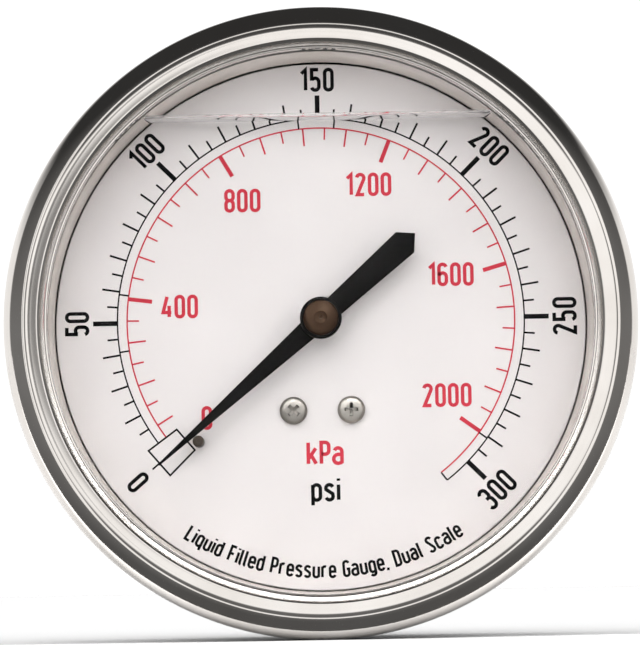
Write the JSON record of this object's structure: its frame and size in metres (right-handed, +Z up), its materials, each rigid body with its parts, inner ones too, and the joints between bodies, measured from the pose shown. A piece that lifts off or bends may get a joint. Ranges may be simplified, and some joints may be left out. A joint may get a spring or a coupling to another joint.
{
  "type": "dial pressure gauge",
  "caption": "Round liquid-filled dial pressure gauge with a polished bayonet bezel, dual scale dial, needle, Bourdon tube movement and a threaded stem low on the back.",
  "frame": {"origin": "centre of the free end of the threaded stem", "axes": "+Y along the stem, away from the gauge; the dial faces -Y; +Z up towards the top of the dial; +X to the right seen from the front"},
  "size_m": [0.11, 0.08, 0.11],
  "materials": {
    "case_steel": "satin brushed stainless steel",
    "polished_steel": "mirror polished stainless steel",
    "window_glass": "clear laminated safety glass",
    "gasket_white": "satin off-white moulded elastomer",
    "dial_white": "satin white enamelled aluminium with printed scales",
    "screw_steel": "plated steel",
    "pointer_black": "satin black paint",
    "pin_black": "blackened steel",
    "cap_brass": "dark bronzed brass",
    "movement_brass": "satin milled brass",
    "movement_steel": "bright turned stainless steel",
    "spring_bronze": "bright spring bronze",
    "tube_steel": "drawn stainless steel, slightly heat tinted",
    "socket_steel": "turned and milled stainless steel",
    "rubber_black": "matt black rubber"
  },
  "bodies": {
    "root": {"case": "case_steel", "window": "window_glass", "window_gasket": "gasket_white", "dial": "dial_white", "dial_screws": "screw_steel", "dial_posts": "movement_brass", "stop_pin": "pin_black", "hairspring": "spring_bronze", "hairspring_stud": "movement_brass", "front_plate": "movement_brass", "back_plate": "movement_brass", "plate_pillars": "movement_brass", "plate_screws": "screw_steel", "movement_screws": "screw_steel", "pinion_bushes": "movement_steel", "sector_bushes": "movement_steel", "bourdon_tube": "tube_steel", "socket": "socket_steel", "socket_seal": "rubber_black", "socket_screws": "screw_steel", "restrictor_screw": "movement_brass", "fill_plug": "rubber_black"},
    "bezel": {"bezel_ring": "polished_steel"},
    "needle": {"pointer": "pointer_black", "pointer_hub": "pointer_black", "hub_cap": "cap_brass", "pinion": "movement_steel", "hairspring_collet": "movement_brass"},
    "sector": {"sector_gear": "movement_brass", "sector_arbor": "movement_steel", "sector_pin": "movement_steel"},
    "tip": {"tube_tip": "tube_steel", "tip_pin": "movement_steel"},
    "link_arm": {"link": "movement_brass"}
  },
  "joints": [
    {"name": "sector_turn", "type": "hinge", "parent": "root", "child": "sector", "pos_m": [0.0108, -0.0565, 0.0145], "axis": [0, -1, 0], "range_deg": [0, 33.27], "stiffness_Nm_per_rad": 0.05},
    {"name": "pointer_spin", "type": "hinge", "parent": "root", "child": "needle", "pos_m": [0, -0.0565, 0.03], "axis": [0, 1, 0], "range_deg": [0, 266.2], "deforming": ["hairspring"]},
    {"name": "tip_swing", "type": "hinge", "parent": "root", "child": "tip", "pos_m": [-0.0051, -0.0565, 0.038], "axis": [0, -1, 0], "range_deg": [0, 6.66], "deforming": ["bourdon_tube"]},
    {"name": "link_swing", "type": "hinge", "parent": "tip", "child": "link_arm", "pos_m": [0.02154, -0.0565, 0.01989], "axis": [0, 1, 0], "range_deg": [0, 5.99]},
    {"name": "bezel_turn", "type": "hinge", "parent": "root", "child": "bezel", "pos_m": [0, -0.072, 0.02915], "axis": [0, -1, 0], "range_deg": [0, 30]}
  ],
  "couplings": [
    {"joint": "pointer_spin", "follows": "sector_turn", "ratio": 8},
    {"joint": "tip_swing", "follows": "sector_turn", "ratio": 0.2},
    {"joint": "link_swing", "follows": "sector_turn", "ratio": 0.18}
  ]
}
